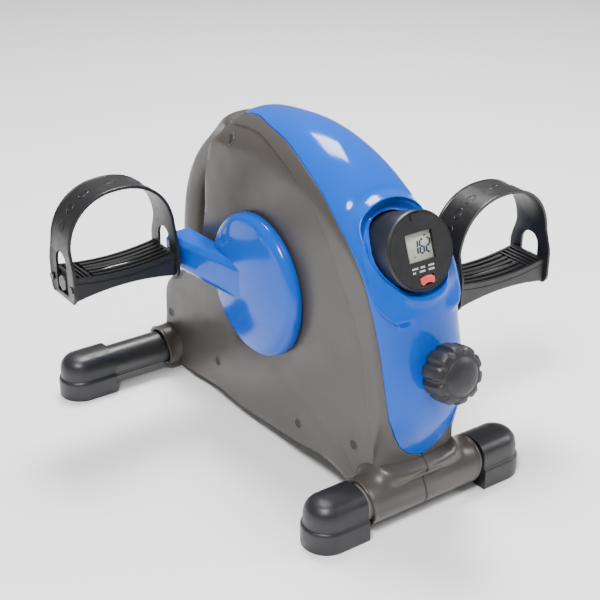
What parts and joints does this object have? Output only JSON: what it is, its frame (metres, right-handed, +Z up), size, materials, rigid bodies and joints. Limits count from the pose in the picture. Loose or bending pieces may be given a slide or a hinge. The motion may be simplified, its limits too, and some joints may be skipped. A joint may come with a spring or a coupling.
{
  "type": "pedal exerciser",
  "caption": "Floor-standing pedal exerciser: upright oval housing with carrying handle, strapped pedals on covered cranks, tension knob, small meter and crosswise feet.",
  "frame": {"origin": "on the floor, in the middle of the object's box seen from above", "axes": "+Z up; -Y to the front, where the meter and the tension knob face; +X to the right of a person who sits in front of it and looks along +Y; the mid-plane of the housing is X = 0"},
  "size_m": [0.4342, 0.478, 0.351],
  "materials": {
    "shell_plastic": "satin",
    "blue_plastic": "gloss",
    "black_plastic": "satin",
    "strap_rubber": "satin",
    "grey_paint": "satin",
    "black_paint": "satin",
    "bright_steel": "polished",
    "cast_flywheel": "machined",
    "belt_rubber": "matte",
    "felt": "matte",
    "clear_window": "clear",
    "display_face": "satin",
    "green_board": "satin",
    "red_button": "gloss",
    "pulley_plastic": "satin",
    "steel": "satin"
  },
  "bodies": {
    "frame": {"drive_belt": "belt_rubber", "front_cover": "blue_plastic", "front_left_foot": "black_plastic", "front_right_foot": "black_plastic", "front_stabilizer": "grey_paint", "knob_bush": "black_plastic", "left_crank_bearing": "steel", "left_flywheel_bearing": "steel", "left_shell": "shell_plastic", "main_frame": "black_paint", "meter_cup": "black_plastic", "rear_left_foot": "black_plastic", "rear_right_foot": "black_plastic", "rear_stabilizer": "black_paint", "right_crank_bearing": "steel", "right_flywheel_bearing": "steel", "right_shell": "shell_plastic", "shell_screws": "bright_steel", "speed_sensor": "black_plastic", "stabilizer_bolts": "bright_steel", "stabilizer_washers": "bright_steel"},
    "crank": {"crank_axle": "steel", "crank_nuts": "bright_steel", "drive_pulley": "pulley_plastic", "left_crank_arm": "steel", "left_crank_cover": "blue_plastic", "left_pedal_nut": "black_paint", "left_pedal_spindle": "steel", "right_crank_arm": "steel", "right_crank_cover": "blue_plastic", "right_pedal_nut": "black_paint", "right_pedal_spindle": "steel", "sensor_magnet": "steel"},
    "left_pedal": {"left_pedal_body": "black_plastic", "left_pedal_bushes": "black_plastic", "left_pedal_strap": "strap_rubber", "left_strap_studs": "black_paint"},
    "right_pedal": {"right_pedal_body": "black_plastic", "right_pedal_bushes": "black_plastic", "right_pedal_strap": "strap_rubber", "right_strap_studs": "black_paint"},
    "flywheel_body": {"flywheel": "cast_flywheel", "flywheel_axle": "steel", "flywheel_nuts": "bright_steel", "flywheel_pulley": "pulley_plastic"},
    "knob": {"tension_knob": "black_plastic", "tension_screw": "steel"},
    "brake": {"brake_pad": "felt", "brake_shoe": "black_plastic", "brake_spring": "steel", "tension_carriage": "black_plastic"},
    "meter": {"button_cell": "steel", "circuit_board": "green_board", "display_panel": "display_face", "display_window": "clear_window", "meter_bezel": "black_plastic", "meter_catch": "black_plastic"},
    "button": {"reset_button": "red_button"}
  },
  "joints": [
    {"name": "crank_spin", "type": "hinge", "parent": "frame", "child": "crank", "pos_m": [0, 0.018, 0.18], "axis": [1, 0, 0], "continuous": true},
    {"name": "left_pedal_spin", "type": "hinge", "parent": "crank", "child": "left_pedal", "pos_m": [-0.15, 0.135, 0.18], "axis": [1, 0, 0], "continuous": true},
    {"name": "right_pedal_spin", "type": "hinge", "parent": "crank", "child": "right_pedal", "pos_m": [0.15, -0.099, 0.18], "axis": [1, 0, 0], "continuous": true},
    {"name": "flywheel_spin", "type": "hinge", "parent": "frame", "child": "flywheel_body", "pos_m": [0, -0.082, 0.137], "axis": [1, 0, 0], "continuous": true},
    {"name": "knob_turn", "type": "hinge", "parent": "frame", "child": "knob", "pos_m": [0, -0.1948, 0.1615], "axis": [0, 0.9774, -0.2113], "range_deg": [0, 1080]},
    {"name": "carriage_slide", "type": "slide", "parent": "frame", "child": "brake", "axis": [0, 0.9774, -0.2113], "range_m": [0, 0.0046]},
    {"name": "meter_release", "type": "slide", "parent": "frame", "child": "meter", "axis": [0, -0.9415, 0.3371], "range_m": [0, 0.02]},
    {"name": "button_press", "type": "slide", "parent": "meter", "child": "button", "axis": [0, 0.9415, -0.3371], "range_m": [0, 0.0012], "stiffness_N_per_m": 400}
  ],
  "couplings": [
    {"joint": "flywheel_spin", "follows": "crank_spin", "ratio": 4},
    {"joint": "carriage_slide", "follows": "knob_turn", "m_per_rad": 0.00023873}
  ]
}
